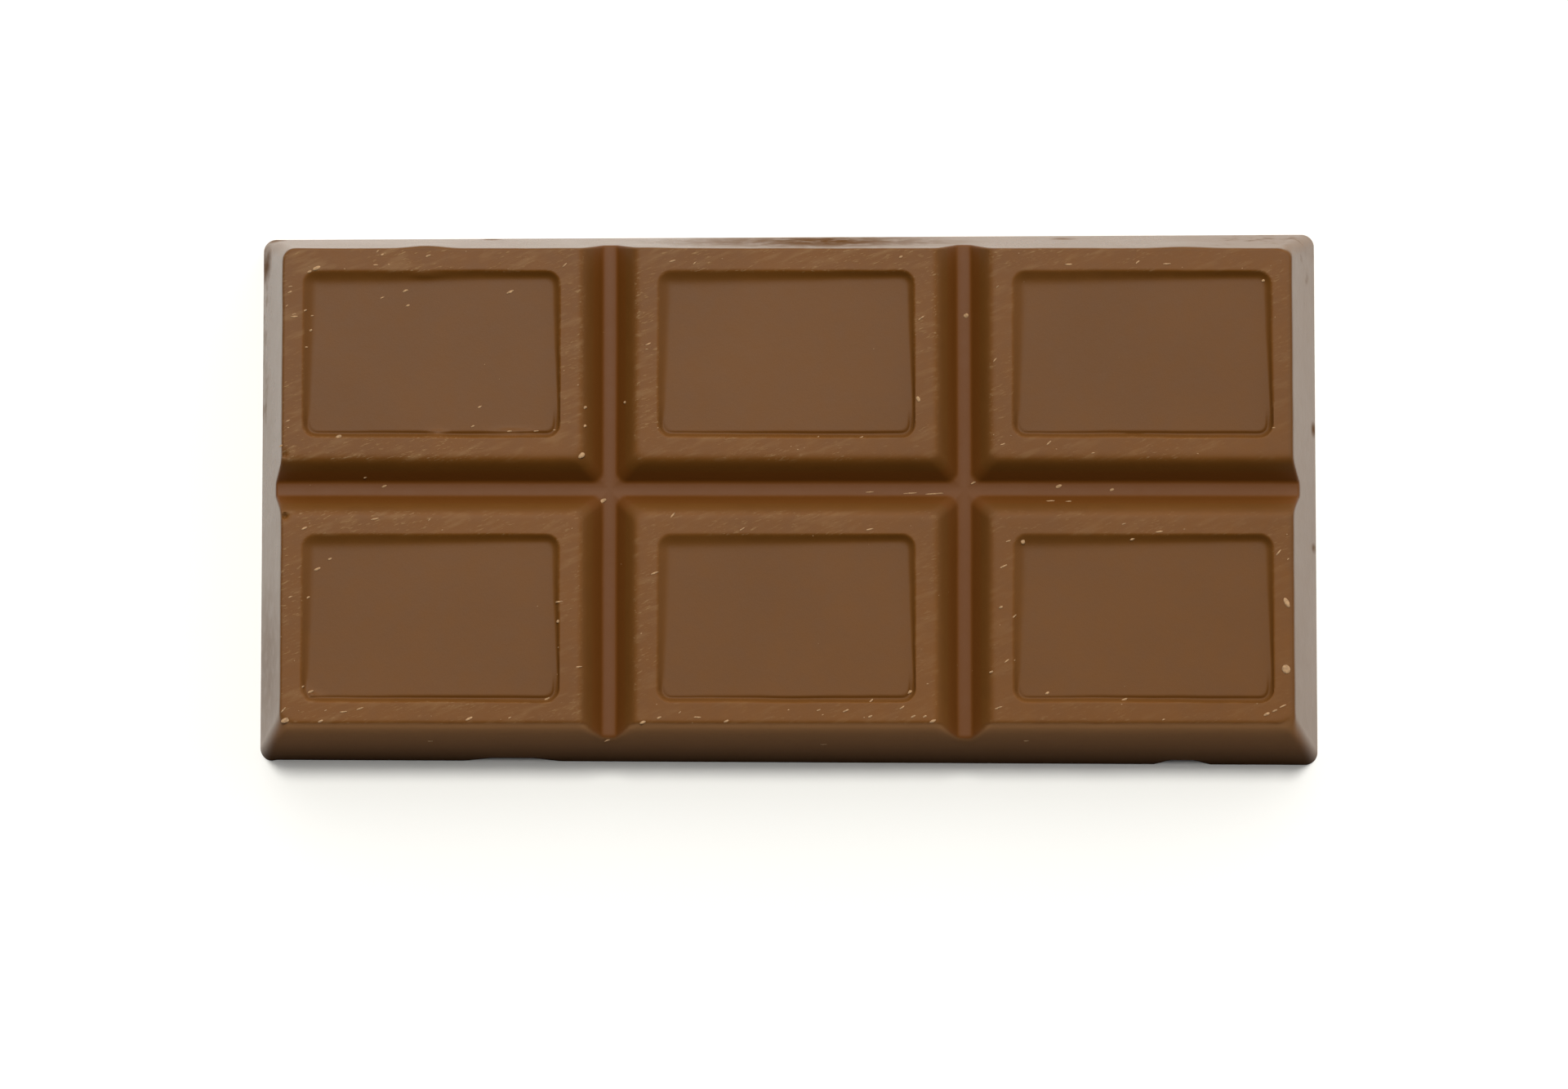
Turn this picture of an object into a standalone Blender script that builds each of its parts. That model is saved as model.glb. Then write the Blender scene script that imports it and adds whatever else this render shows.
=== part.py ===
"""A six-block bar of milk chocolate, lying on its flat back.

Units are metres. The origin is at the bottom centre of the bar, with +X along the three
blocks, +Y across the two rows and +Z up, out of the moulded face.

The bar is one solid. It is put together the way its mould shapes it:
  1. a low slab, as high as the floors of the grooves,
  2. six blocks on it with leaning groove walls, trimmed to the drafted outline,
  3. a sunk panel in the top of each block,
  4. a slight unevenness: the top sits off centre, and the back flares towards one end.
"""
import math

import bmesh
import bpy

MM = 0.001

# The layout of the moulded face.
COLUMNS = 3
ROWS = 2
PANEL_LENGTH = 22.35 * MM
PANEL_WIDTH = 14.70 * MM
PANEL_CORNER = 1.25 * MM
PANEL_DEPTH = 0.55 * MM
PANEL_STEP_RUN = 0.50 * MM
RIM_WIDTH = 1.93 * MM
BLOCK_CORNER = 0.75 * MM

# The grooves between the blocks.
GROOVE_WIDTH = 4.55 * MM
GROOVE_FLOOR_WIDTH = 1.16 * MM
GROOVE_DEPTH = 2.30 * MM

# The bar as a whole. The back is larger than the face by the draft of the mould.
HEIGHT = 8.50 * MM
BACK_LENGTH = 92.00 * MM
BACK_WIDTH = 46.36 * MM
BACK_CORNER = 1.10 * MM
TOP_CORNER = 0.90 * MM
EDGE_RADIUS = 0.60 * MM

# Unevenness of the real bar: how far the face sits off the middle of the back, and the flare.
TOP_SHIFT_X = -0.24 * MM
TOP_SHIFT_Y = -0.08 * MM
BACK_FLARE = 0.010

# Fineness of the rounding.
CORNER_STEPS = 8
EDGE_STEPS = 5

# Room that the working shapes need past the finished surface.
OVERLAP = 0.65 * MM
CLEARANCE = 2.00 * MM

BLOCK_LENGTH = PANEL_LENGTH + 2 * RIM_WIDTH
BLOCK_WIDTH = PANEL_WIDTH + 2 * RIM_WIDTH
TOP_LENGTH = COLUMNS * BLOCK_LENGTH + (COLUMNS - 1) * GROOVE_WIDTH
TOP_WIDTH = ROWS * BLOCK_WIDTH + (ROWS - 1) * GROOVE_WIDTH
FLOOR_HEIGHT = HEIGHT - GROOVE_DEPTH
GROOVE_WALL_RUN = (GROOVE_WIDTH - GROOVE_FLOOR_WIDTH) / 2

CHOCOLATE_COLOUR = (0.170, 0.066, 0.018, 1.0)
CHOCOLATE_ROUGHNESS = 0.38


def rounded_rectangle(x_range, y_range, radius, z):
    """Points of a level rectangle with round corners, anticlockwise seen from above."""
    (x_low, x_high), (y_low, y_high) = x_range, y_range
    centres = [
        (x_high - radius, y_low + radius, -90),
        (x_high - radius, y_high - radius, 0),
        (x_low + radius, y_high - radius, 90),
        (x_low + radius, y_low + radius, 180),
    ]
    points = []
    for centre_x, centre_y, first_degree in centres:
        for step in range(CORNER_STEPS + 1):
            angle = math.radians(first_degree + 90 * step / CORNER_STEPS)
            x = centre_x + radius * math.cos(angle)
            y = centre_y + radius * math.sin(angle)
            points.append((x, y, z))
    return points


def centred_ring(length, width, radius, z, centre=(0.0, 0.0)):
    """A rounded rectangle given by its size and the place of its middle."""
    x_range = (centre[0] - length / 2, centre[0] + length / 2)
    y_range = (centre[1] - width / 2, centre[1] + width / 2)
    return rounded_rectangle(x_range, y_range, radius, z)


def add_loft(mesh, rings):
    """Skin a closed stack of rings, listed from the lowest to the highest, with flat ends."""
    rows = [[mesh.verts.new(point) for point in ring] for ring in rings]
    count = len(rows[0])
    for lower, upper in zip(rows, rows[1:]):
        for index in range(count):
            following = (index + 1) % count
            mesh.faces.new((lower[index], lower[following], upper[following], upper[index]))
    mesh.faces.new(reversed(rows[0]))
    mesh.faces.new(rows[-1])


def rounded_shoulder(top, lean, radius):
    """Round the edge between a leaning wall and a level top.

    The wall passes through inset 0 at height 0 and leans inwards by the angle lean. The result
    lists (inset, height) pairs from the wall up to the level top.
    """
    centre_height = top - radius
    centre_inset = (radius + centre_height * math.sin(lean)) / math.cos(lean)
    pairs = []
    for step in range(EDGE_STEPS + 1):
        angle = lean + (math.pi / 2 - lean) * step / EDGE_STEPS
        inset = centre_inset - radius * math.cos(angle)
        pairs.append((inset, centre_height + radius * math.sin(angle)))
    return pairs


def new_piece(name, mesh):
    """Turn a bmesh into an object in the scene."""
    data = bpy.data.meshes.new(name)
    mesh.to_mesh(data)
    mesh.free()
    piece = bpy.data.objects.new(name, data)
    bpy.context.scene.collection.objects.link(piece)
    return piece


def new_tool(name, mesh):
    """A working shape that only cuts or adds to another piece."""
    tool = new_piece(name, mesh)
    tool.display_type = "WIRE"
    tool.hide_render = True
    return tool


def combine(piece, tool, operation):
    """Add a Boolean step to a piece."""
    step = piece.modifiers.new(f"{operation.lower()}_{tool.name}", "BOOLEAN")
    step.operation = operation
    step.solver = "EXACT"
    step.object = tool


def drafted_slab(top):
    """A slab inside the drafted outline of the bar, cut off at a height and rounded there."""
    length_lean = math.atan2((BACK_LENGTH - TOP_LENGTH) / 2, HEIGHT)
    width_lean = math.atan2((BACK_WIDTH - TOP_WIDTH) / 2, HEIGHT)
    rings = [centred_ring(BACK_LENGTH, BACK_WIDTH, BACK_CORNER, 0.0)]
    length_pairs = rounded_shoulder(top, length_lean, EDGE_RADIUS)
    width_pairs = rounded_shoulder(top, width_lean, EDGE_RADIUS)
    for (length_inset, height), (width_inset, _) in zip(length_pairs, width_pairs):
        corner = BACK_CORNER + (TOP_CORNER - BACK_CORNER) * height / HEIGHT
        length = BACK_LENGTH - 2 * length_inset
        width = BACK_WIDTH - 2 * width_inset
        rings.append(centred_ring(length, width, corner, height))
    mesh = bmesh.new()
    add_loft(mesh, rings)
    return mesh


def block_centres():
    """The middle of each block, row by row."""
    for row in range(ROWS):
        for column in range(COLUMNS):
            x = (column - (COLUMNS - 1) / 2) * (BLOCK_LENGTH + GROOVE_WIDTH)
            y = (row - (ROWS - 1) / 2) * (BLOCK_WIDTH + GROOVE_WIDTH)
            yield column, row, x, y


def side_range(centre, size, growth, first, last):
    """The span of a block along one axis, which runs out past the bar on an outer side."""
    outside = GROOVE_WIDTH + CLEARANCE
    low = centre - size / 2 - (outside if first else growth)
    high = centre + size / 2 + (outside if last else growth)
    return low, high


def blocks():
    """Six blocks with leaning groove walls and rounded top edges, too long on the outside."""
    lean = math.atan2(GROOVE_WALL_RUN, GROOVE_DEPTH)
    foot = FLOOR_HEIGHT - OVERLAP
    foot_growth = (HEIGHT - foot) * math.tan(lean)
    pairs = [(0.0, 0.0)] + rounded_shoulder(HEIGHT - foot, lean, EDGE_RADIUS)
    mesh = bmesh.new()
    for column, row, x, y in block_centres():
        rings = []
        for inset, rise in pairs:
            growth = foot_growth - inset
            x_range = side_range(x, BLOCK_LENGTH, growth, column == 0, column == COLUMNS - 1)
            y_range = side_range(y, BLOCK_WIDTH, growth, row == 0, row == ROWS - 1)
            rings.append(rounded_rectangle(x_range, y_range, BLOCK_CORNER, foot + rise))
        add_loft(mesh, rings)
    return mesh


def panels():
    """Six recesses with a sloping step all round."""
    widening = PANEL_STEP_RUN * (1 + OVERLAP / PANEL_DEPTH)
    levels = [
        (HEIGHT - PANEL_DEPTH, -PANEL_STEP_RUN),
        (HEIGHT + OVERLAP, widening - PANEL_STEP_RUN),
    ]
    mesh = bmesh.new()
    for _, _, x, y in block_centres():
        rings = []
        for z, growth in levels:
            length = PANEL_LENGTH + 2 * growth
            width = PANEL_WIDTH + 2 * growth
            rings.append(centred_ring(length, width, PANEL_CORNER + growth, z, (x, y)))
        add_loft(mesh, rings)
    return mesh


def settle(piece):
    """Apply the steps, then give the bar the small unevenness of the real one."""
    graph = bpy.context.evaluated_depsgraph_get()
    data = bpy.data.meshes.new_from_object(piece.evaluated_get(graph))
    piece.modifiers.clear()
    piece.data = data
    for vertex in data.vertices:
        height = vertex.co.z / HEIGHT
        along = vertex.co.x / (BACK_LENGTH / 2)
        vertex.co.y *= 1 + BACK_FLARE * along * (1 - height)
        vertex.co.x += TOP_SHIFT_X * height
        vertex.co.y += TOP_SHIFT_Y * height
    data.name = piece.name


def milk_chocolate():
    """The one material of the bar."""
    material = bpy.data.materials.new("milk_chocolate")
    material.use_nodes = True
    shader = material.node_tree.nodes["Principled BSDF"]
    shader.inputs["Base Color"].default_value = CHOCOLATE_COLOUR
    shader.inputs["Roughness"].default_value = CHOCOLATE_ROUGHNESS
    return material


def main():
    for item in list(bpy.data.objects):
        bpy.data.objects.remove(item)

    outline = new_tool("outline", drafted_slab(HEIGHT))
    moulded_blocks = new_tool("moulded_blocks", blocks())
    combine(moulded_blocks, outline, "INTERSECT")
    recesses = new_tool("recesses", panels())

    bar = new_piece("chocolate_bar", drafted_slab(FLOOR_HEIGHT))
    combine(bar, moulded_blocks, "UNION")
    combine(bar, recesses, "DIFFERENCE")
    settle(bar)
    bar.data.materials.clear()
    bar.data.materials.append(milk_chocolate())


main()
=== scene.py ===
"""Looks of a six-block bar of milk chocolate, with its slivers and crumbs, and the stage.

Sizes are in metres. The flat back lies on z = 0 and +X runs along the bar. The bar is read from
the -Y side, so that side is called the near one below.
"""
import math

import bpy
import numpy as np
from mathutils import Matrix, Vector
from mathutils.bvhtree import BVHTree


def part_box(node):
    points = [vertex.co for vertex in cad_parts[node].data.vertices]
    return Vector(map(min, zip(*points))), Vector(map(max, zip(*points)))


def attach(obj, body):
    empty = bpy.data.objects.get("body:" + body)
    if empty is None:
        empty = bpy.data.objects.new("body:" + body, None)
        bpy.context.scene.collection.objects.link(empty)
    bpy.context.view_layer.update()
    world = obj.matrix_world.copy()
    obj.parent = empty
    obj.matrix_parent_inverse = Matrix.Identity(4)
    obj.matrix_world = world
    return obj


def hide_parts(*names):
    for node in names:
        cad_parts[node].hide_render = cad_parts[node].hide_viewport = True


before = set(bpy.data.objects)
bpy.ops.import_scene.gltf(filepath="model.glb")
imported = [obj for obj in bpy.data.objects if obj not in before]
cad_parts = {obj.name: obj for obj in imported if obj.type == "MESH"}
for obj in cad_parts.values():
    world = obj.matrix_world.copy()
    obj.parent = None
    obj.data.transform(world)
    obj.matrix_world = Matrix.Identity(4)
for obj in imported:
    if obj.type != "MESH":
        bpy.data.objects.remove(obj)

bl_info = {
    "name": "Chocolate bar",
    "version": (1, 0, 0),
    "blender": (4, 5, 0),
    "location": "3D View > Sidebar > Chocolate",
    "description": "Makes a moulded bar of milk chocolate, its crumbs and a plain stage",
    "category": "Object",
}

MM = 0.001
BAR_NODE = "chocolate_bar"
BODY = "root"
SLOT = "milk_chocolate"

CAD_LOW, CAD_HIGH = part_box(BAR_NODE)
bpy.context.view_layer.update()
BACK_FLARE = 0.010


# ---------------------------------------------------------------------------------------------
# Settings
# ---------------------------------------------------------------------------------------------

def distance(label, words, millimetres):
    """A setting that is a length, given here in millimetres."""
    return bpy.props.FloatProperty(
        name=label,
        description=words,
        default=millimetres * MM,
        precision=5,
        subtype="DISTANCE",
        unit="LENGTH",
    )


def share(label, words, default, high=1.0):
    """A setting that is a plain share or strength."""
    return bpy.props.FloatProperty(
        name=label,
        description=words,
        default=default,
        min=0.0,
        max=high,
    )


def colour(label, words, default):
    """A setting that is a colour, in linear light."""
    return bpy.props.FloatVectorProperty(
        name=label,
        description=words,
        default=default,
        size=3,
        min=0.0,
        max=1.0,
        subtype="COLOR",
    )


def angle(label, words, degrees):
    """A setting that is an angle, given here in degrees."""
    return bpy.props.FloatProperty(
        name=label,
        description=words,
        default=math.radians(degrees),
        subtype="ANGLE",
        unit="ROTATION",
    )


class BarShape(bpy.types.PropertyGroup):
    """Sizes of the moulded bar."""

    length: distance("Length", "Length of the back", (CAD_HIGH.x - CAD_LOW.x) / MM)
    width: distance(
        "Width", "Width of the back at mid length", (CAD_HIGH.y - CAD_LOW.y) / (1 + BACK_FLARE) / MM
    )
    height: distance("Height", "Thickness of the bar", CAD_HIGH.z / MM)
    draft_run: distance("Draft", "How far the side walls lean in over the height", 2.35)
    back_corner: distance("Back corner", "Radius of the back's corners", 1.1)
    block_length: distance("Block length", "Top of one block, along the bar", 26.21)
    block_width: distance("Block width", "Top of one block, across the bar", 18.56)
    groove_width: distance("Groove width", "Groove between blocks, at the top", 4.55)
    groove_floor: distance("Groove floor", "Width of the groove's floor", 1.16)
    groove_depth: distance("Groove depth", "Depth of the grooves", 2.3)
    panel_length: distance("Panel length", "Sunk panel, along the bar", 22.35)
    panel_width: distance("Panel width", "Sunk panel, across the bar", 14.7)
    panel_corner: distance("Panel corner", "Radius of the panel's corners", 1.25)
    panel_depth: distance("Panel depth", "How deep the panel is sunk", 0.54)
    panel_step: distance("Panel step", "Width of the step round the panel", 0.52)
    panel_lean: distance("Panel lean", "How much wider the step is on the far side", 0.20)
    crease_depth: distance("Crease depth", "Crease at the foot of the step, near side", 0.16)
    rim_softness: distance("Rim softness", "Rounding of the outer top edge", 0.45)
    near_softness: distance("Near softness", "Rounding of that edge on the near side", 1.60)
    near_bulge: share("Near bulge", "How far the near wall swells outwards", 0.72)
    groove_bulge: share("Groove bulge", "How far the groove's walls swell outwards", 0.13)
    groove_softness: distance("Groove softness", "Rounding of the groove's edges", 0.9)
    block_corner: distance("Block corner", "Radius of the blocks' corners at the crossings", 0.85)
    gutter_radius: distance("Gutter radius", "Radius of the hollow floor of a groove", 2.6)
    foot_softness: distance("Foot softness", "Rounding of the groove's foot", 0.18)
    stretch: distance("Stretch", "How far the face reaches out at its right end", 0.20)
    waver: distance("Waver", "How far edges stray from straight", 0.09)
    shift_x: distance("Shift along", "How far the face sits off the back's middle, along X", -0.24)
    shift_y: distance("Shift across", "How far the face sits off the back's middle, along Y", -0.08)
    back_flare: share("Back flare", "How much wider the back is at one end", BACK_FLARE)


class ChocolateFinish(bpy.types.PropertyGroup):
    """Colours and surface of the chocolate, with light and shade painted on the near wall."""

    base: colour("Chocolate", "Milk chocolate", (0.104, 0.0358, 0.0016))
    rim: colour("Rim", "The rims between the panels and the grooves", (0.120, 0.0402, 0.0012))
    groove: colour("Groove", "The walls of the grooves", (0.106, 0.0318, 0.0006))
    scuffed: colour("Scuffed", "Fine scratches on the rims", (0.220, 0.122, 0.050))
    smudge: colour("Smudge", "Brown smudges on the outer walls", (0.085, 0.0310, 0.0040))
    outer: colour("Outer walls", "The walls round the outside", (0.114, 0.0450, 0.0010))
    # Painted light and shade: the near wall's colour runs from painted light at its top to painted
    # shade, near black, at its foot.
    near_top: colour("Near wall, top", "The dull near wall, at its top", (0.205, 0.100, 0.042))
    near_foot: colour("Near wall, foot", "The dull near wall, at its foot", (0.028, 0.010, 0.001))
    crumb: colour("Crumb", "Slivers and crumbs", (0.400, 0.240, 0.120))
    roughness: share("Roughness", "Roughness of the moulded surface", 0.62)
    wall_roughness: share("Wall roughness", "Roughness of the smoother outer walls", 0.30)
    near_roughness: share("Near roughness", "Roughness of the near outer wall", 0.90)
    scuff: share("Scuff", "How strongly the rims are scuffed", 0.95)
    refraction: share("Refraction", "Index of refraction, which sets the gloss", 1.34, high=2.0)
    wall_refraction: share("Wall refraction", "The same for the smoother outer walls", 1.50, high=2.0)
    dull_refraction: share("Dull refraction", "The same for the dull near wall", 1.12, high=2.0)


class CrumbSettings(bpy.types.PropertyGroup):
    """Amount and size of what lies on the bar."""

    sliver_density: bpy.props.FloatProperty(
        name="Sliver density",
        description="Stray slivers for each square metre of rim",
        default=90000.0,
        min=0.0,
    )
    crumb_density: bpy.props.FloatProperty(
        name="Crumb density",
        description="Crumbs for each square metre of rim",
        default=110000.0,
        min=0.0,
    )
    sliver_length: distance("Sliver length", "Length of a usual sliver", 0.50)
    sliver_width: distance("Sliver width", "Width of a usual sliver", 0.15)
    crumb_size: distance("Crumb size", "Width of a usual crumb", 0.13)
    slant: angle("Slant", "Direction in which most slivers lie", 24)
    seed: bpy.props.IntProperty(name="Seed", description="Fixes the scatter", default=7)


class StageSettings(bpy.types.PropertyGroup):
    """Floor, light and camera."""

    floor: colour("Floor", "Colour of the floor", (0.86, 0.86, 0.86))
    sky: share("Sky", "Strength of the soft light from all round", 0.55, high=10.0)
    near_share: share("Near share", "How much of the soft light the near side of the room gives", 0.12)
    far_glow: share("Far glow", "Extra light from low beyond the bar", 1.00, high=10.0)
    right_glow: share("Right glow", "Extra light from low on the right", 1.15, high=10.0)
    key: share("Key", "Strength of the main light beyond the bar", 1.90, high=20.0)
    key_height: angle("Key height", "How high the main light stands over the floor", 70.0)
    key_breadth: angle("Key breadth", "How wide the main light looks from the bar", 12)
    overhead: share("Overhead", "Strength of the broad light overhead", 0.95, high=20.0)
    overhead_height: angle("Overhead height", "How high the broad light stands", 80)
    overhead_breadth: angle("Overhead breadth", "How wide the broad light looks", 30)
    camera_distance: distance("Camera distance", "From the bar to the camera", 900.0)
    camera_tilt: angle("Camera tilt", "Lean of the camera from straight above to the near side", 8)
    view_length: distance("View length", "Width of floor that the picture takes in", 136.85)


# ---------------------------------------------------------------------------------------------
# Node trees written as plain sums
# ---------------------------------------------------------------------------------------------

class Term:
    """A value inside a node tree. Sums written with it add the nodes that work them out."""

    def __init__(self, recipe, socket):
        self.recipe = recipe
        self.socket = socket

    def __add__(self, other):
        return self.recipe.maths("ADD", self, other)

    def __radd__(self, other):
        return self.recipe.maths("ADD", other, self)

    def __sub__(self, other):
        return self.recipe.maths("SUBTRACT", self, other)

    def __rsub__(self, other):
        return self.recipe.maths("SUBTRACT", other, self)

    def __mul__(self, other):
        return self.recipe.maths("MULTIPLY", self, other)

    def __rmul__(self, other):
        return self.recipe.maths("MULTIPLY", other, self)

    def __truediv__(self, other):
        return self.recipe.maths("DIVIDE", self, other)

    def __rtruediv__(self, other):
        return self.recipe.maths("DIVIDE", other, self)

    def __abs__(self):
        return self.recipe.maths("ABSOLUTE", self)


class Outputs:
    """The outputs of one node, each handed out as a Term."""

    def __init__(self, recipe, node):
        self.recipe = recipe
        self.node = node

    def __getitem__(self, key):
        return Term(self.recipe, find_socket(self.node.outputs, key))


def find_socket(sockets, key):
    """A socket by its number, its identifier or its name."""
    if isinstance(key, int):
        return sockets[key]
    for socket in sockets:
        if socket.identifier == key:
            return socket
    return sockets[key]


class Recipe:
    """Fills one node tree."""

    def __init__(self, tree):
        self.tree = tree

    def add(self, kind, settings=None, inputs=None):
        """Add a node: its type, its settings, then the values or links of its sockets."""
        node = self.tree.nodes.new(kind)
        for name, value in (settings or {}).items():
            if name == "stops":
                self.set_stops(node, value)
            else:
                setattr(node, name, value)
        for key, value in (inputs or {}).items():
            socket = find_socket(node.inputs, key)
            if isinstance(value, Term):
                self.tree.links.new(value.socket, socket)
            else:
                socket.default_value = value
        return Outputs(self, node)

    @staticmethod
    def set_stops(node, stops):
        """Give a colour ramp its stops, each a place and a grey or a colour."""
        ramp = node.color_ramp
        while len(ramp.elements) < len(stops):
            ramp.elements.new(1.0)
        for element, (place, shade) in zip(ramp.elements, stops):
            element.position = place
            element.color = shade if len(shade) == 4 else (*shade, 1.0)

    def maths(self, operation, *values):
        return self.add("ShaderNodeMath", {"operation": operation}, dict(enumerate(values)))[0]

    def lower(self, one, other):
        return self.maths("MINIMUM", one, other)

    def higher(self, one, other):
        return self.maths("MAXIMUM", one, other)

    def soft_lower(self, one, other, softness):
        return self.maths("SMOOTH_MIN", one, other, softness)

    def soft_higher(self, one, other, softness):
        return self.maths("SMOOTH_MAX", one, other, softness)

    def round_lower(self, one, other, radius):
        """The lower of two distances, which meet in an arc of the given radius."""
        gap = abs(one - other)
        within = self.lower(gap, radius)
        arc = self.root(radius * radius * 2.0 - within * within) / 2.0
        return (one + other - gap + within) / 2.0 + arc - radius

    def root(self, value):
        return self.maths("SQRT", value)

    def ramp(self, value, low, high, low_result=0.0, high_result=1.0):
        """Rise smoothly from one result to the other while the value goes from low to high."""
        return self.add(
            "ShaderNodeMapRange",
            {"interpolation_type": "SMOOTHSTEP"},
            {"Value": value, "From Min": low, "From Max": high,
             "To Min": low_result, "To Max": high_result},
        )["Result"]

    def vector(self, x, y, z):
        return self.add("ShaderNodeCombineXYZ", None, {"X": x, "Y": y, "Z": z})["Vector"]

    def split(self, vector):
        parts = self.add("ShaderNodeSeparateXYZ", None, {"Vector": vector})
        return parts["X"], parts["Y"], parts["Z"]

    def noise(self, place, feature, seed, detail=2.0, roughness=0.5):
        """Soft noise around zero, reaching about half each way, with features of a given size."""
        made = self.add(
            "ShaderNodeTexNoise",
            {"noise_dimensions": "4D"},
            {"Vector": place, "W": seed, "Scale": 1.0 / feature, "Detail": detail,
             "Roughness": roughness},
        )
        return made[0] - 0.5

    def patch(self, x, y, centre, reach):
        """A soft oval spot: 1 in the middle and 0 at its reach along X and along Y."""
        off_x = (x - centre[0] * MM) / (reach[0] * MM)
        off_y = (y - centre[1] * MM) / (reach[1] * MM)
        return self.ramp(self.root(off_x * off_x + off_y * off_y), 1.0, 0.0)

    def attribute(self, name):
        """A number stored on the mesh, for a material."""
        return self.add("ShaderNodeAttribute", {"attribute_name": name})["Fac"]

    def mix_colour(self, factor, one, other):
        made = self.add(
            "ShaderNodeMix",
            {"data_type": "RGBA"},
            {"Factor_Float": factor, "A_Color": one, "B_Color": other},
        )
        return made["Result_Color"]

    def keep(self, geometry, name, value):
        """Store a number on every point of a geometry."""
        made = self.add(
            "GeometryNodeStoreNamedAttribute",
            {"data_type": "FLOAT", "domain": "POINT"},
            {"Geometry": geometry, "Name": name, "Value": value},
        )
        return made["Geometry"]

    def chance(self, low, high, seed):
        """A number drawn afresh for each point."""
        made = self.add(
            "FunctionNodeRandomValue",
            {"data_type": "FLOAT"},
            {"Min_001": low, "Max_001": high, "Seed": seed},
        )
        return made["Value_001"]

    def kept(self, name):
        """Read back a number stored on a geometry."""
        made = self.add("GeometryNodeInputNamedAttribute", {"data_type": "FLOAT"}, {"Name": name})
        return made["Attribute"]


def geometry_recipe(name, settings):
    """A new geometry tree with an input for each setting, and those inputs as Terms."""
    tree = bpy.data.node_groups.new(name, "GeometryNodeTree")
    tree.interface.new_socket("Geometry", in_out="INPUT", socket_type="NodeSocketGeometry")
    tree.interface.new_socket("Geometry", in_out="OUTPUT", socket_type="NodeSocketGeometry")
    for label, value in settings.items():
        kind = "NodeSocketInt" if isinstance(value, int) else "NodeSocketFloat"
        tree.interface.new_socket(label, in_out="INPUT", socket_type=kind)
    recipe = Recipe(tree)
    return recipe, recipe.add("NodeGroupInput")


def close_geometry(recipe, geometry, material):
    """End a geometry tree: make instances real, give them a material and hand them out."""
    real = recipe.add("GeometryNodeRealizeInstances", None, {"Geometry": geometry})["Geometry"]
    dressed = recipe.add(
        "GeometryNodeSetMaterial", None, {"Geometry": real, "Material": material}
    )["Geometry"]
    recipe.add("NodeGroupOutput", None, {0: dressed})


def grow(piece, tree, settings):
    """Run a geometry tree on a piece and keep the result as a plain mesh."""
    step = piece.modifiers.new(tree.name, "NODES")
    step.node_group = tree
    for item in tree.interface.items_tree:
        if item.in_out == "INPUT" and item.name in settings:
            step[item.identifier] = settings[item.name]
    graph = bpy.context.evaluated_depsgraph_get()
    data = bpy.data.meshes.new_from_object(piece.evaluated_get(graph))
    data.name = piece.name
    piece.modifiers.remove(step)
    piece.data = data
    return piece


def settings_of(group):
    """The numbers of a property group by name."""
    return {name: getattr(group, name) for name in group.__annotations__}


def new_piece(name, vertices, faces):
    """A new object from points and faces."""
    data = bpy.data.meshes.new(name)
    data.from_pydata(vertices, [], faces)
    piece = bpy.data.objects.new(name, data)
    bpy.context.scene.collection.objects.link(piece)
    return piece


# ---------------------------------------------------------------------------------------------
# The sheet that the bar is moulded from
# ---------------------------------------------------------------------------------------------

def graded_lines(half, zones, coarse):
    """Places of lines from -half to half, close together in each zone and wide apart elsewhere.

    A zone is its middle, its half width and the spacing inside it, on the positive side.
    """
    grade = 0.35
    samples = np.linspace(0.0, half, 6001)
    spacing = np.full_like(samples, coarse)
    for middle, reach, fine in zones:
        beyond = np.maximum(np.abs(samples - middle) - reach, 0.0)
        spacing = np.minimum(spacing, fine + grade * beyond)
    middles = 0.5 * (1 / spacing[1:] + 1 / spacing[:-1])
    count = np.concatenate([[0.0], np.cumsum(middles * np.diff(samples))])
    steps = int(round(count[-1]))
    positive = np.interp(np.linspace(0.0, count[-1], steps + 1), count, samples)
    return np.concatenate([-positive[:0:-1], positive])


def sheet_lines(shape):
    """Lines along X and Y that crowd where the bar has edges."""
    pitch_x = shape.block_length + shape.groove_width
    pitch_y = shape.block_width + shape.groove_width
    wall_middle = shape.draft_run / 2 - 0.15 * MM
    wall_reach = shape.draft_run / 2 + 0.35 * MM
    groove_reach = shape.groove_width / 2 + 0.35 * MM
    step_reach = shape.panel_step / 2 + 0.1 * MM
    zones_x = [
        (shape.length / 2 - wall_middle, wall_reach, 0.095 * MM),
        (pitch_x / 2, groove_reach, 0.125 * MM),
    ]
    zones_y = [
        (shape.width / 2 - wall_middle, wall_reach, 0.095 * MM),
        (0.0, groove_reach, 0.125 * MM),
    ]
    inner = shape.panel_length / 2 - shape.panel_step / 2
    for middle in (inner, pitch_x - inner, pitch_x + inner):
        zones_x.append((middle, step_reach, 0.075 * MM))
    inner = shape.panel_width / 2 - shape.panel_step / 2
    for middle in (pitch_y / 2 - inner, pitch_y / 2 + inner):
        zones_y.append((middle, step_reach, 0.075 * MM))
    coarse = 0.55 * MM
    lines_x = graded_lines(shape.length / 2, zones_x, coarse)
    return lines_x, graded_lines(shape.width / 2, zones_y, coarse)


def round_off(x, y, half_x, half_y, radius):
    """Draw the square corners of a sheet in to round ones."""
    past_x = np.maximum(np.abs(x) - (half_x - radius), 0.0) / radius
    past_y = np.maximum(np.abs(y) - (half_y - radius), 0.0) / radius
    in_corner = (past_x > 0) & (past_y > 0)
    reach = np.hypot(past_x, past_y)
    draw = np.where(in_corner, np.maximum(past_x, past_y) / np.where(in_corner, reach, 1.0), 1.0)
    round_x = np.sign(x) * (half_x - radius + past_x * draw * radius)
    round_y = np.sign(y) * (half_y - radius + past_y * draw * radius)
    return np.where(in_corner, round_x, x), np.where(in_corner, round_y, y)


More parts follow.
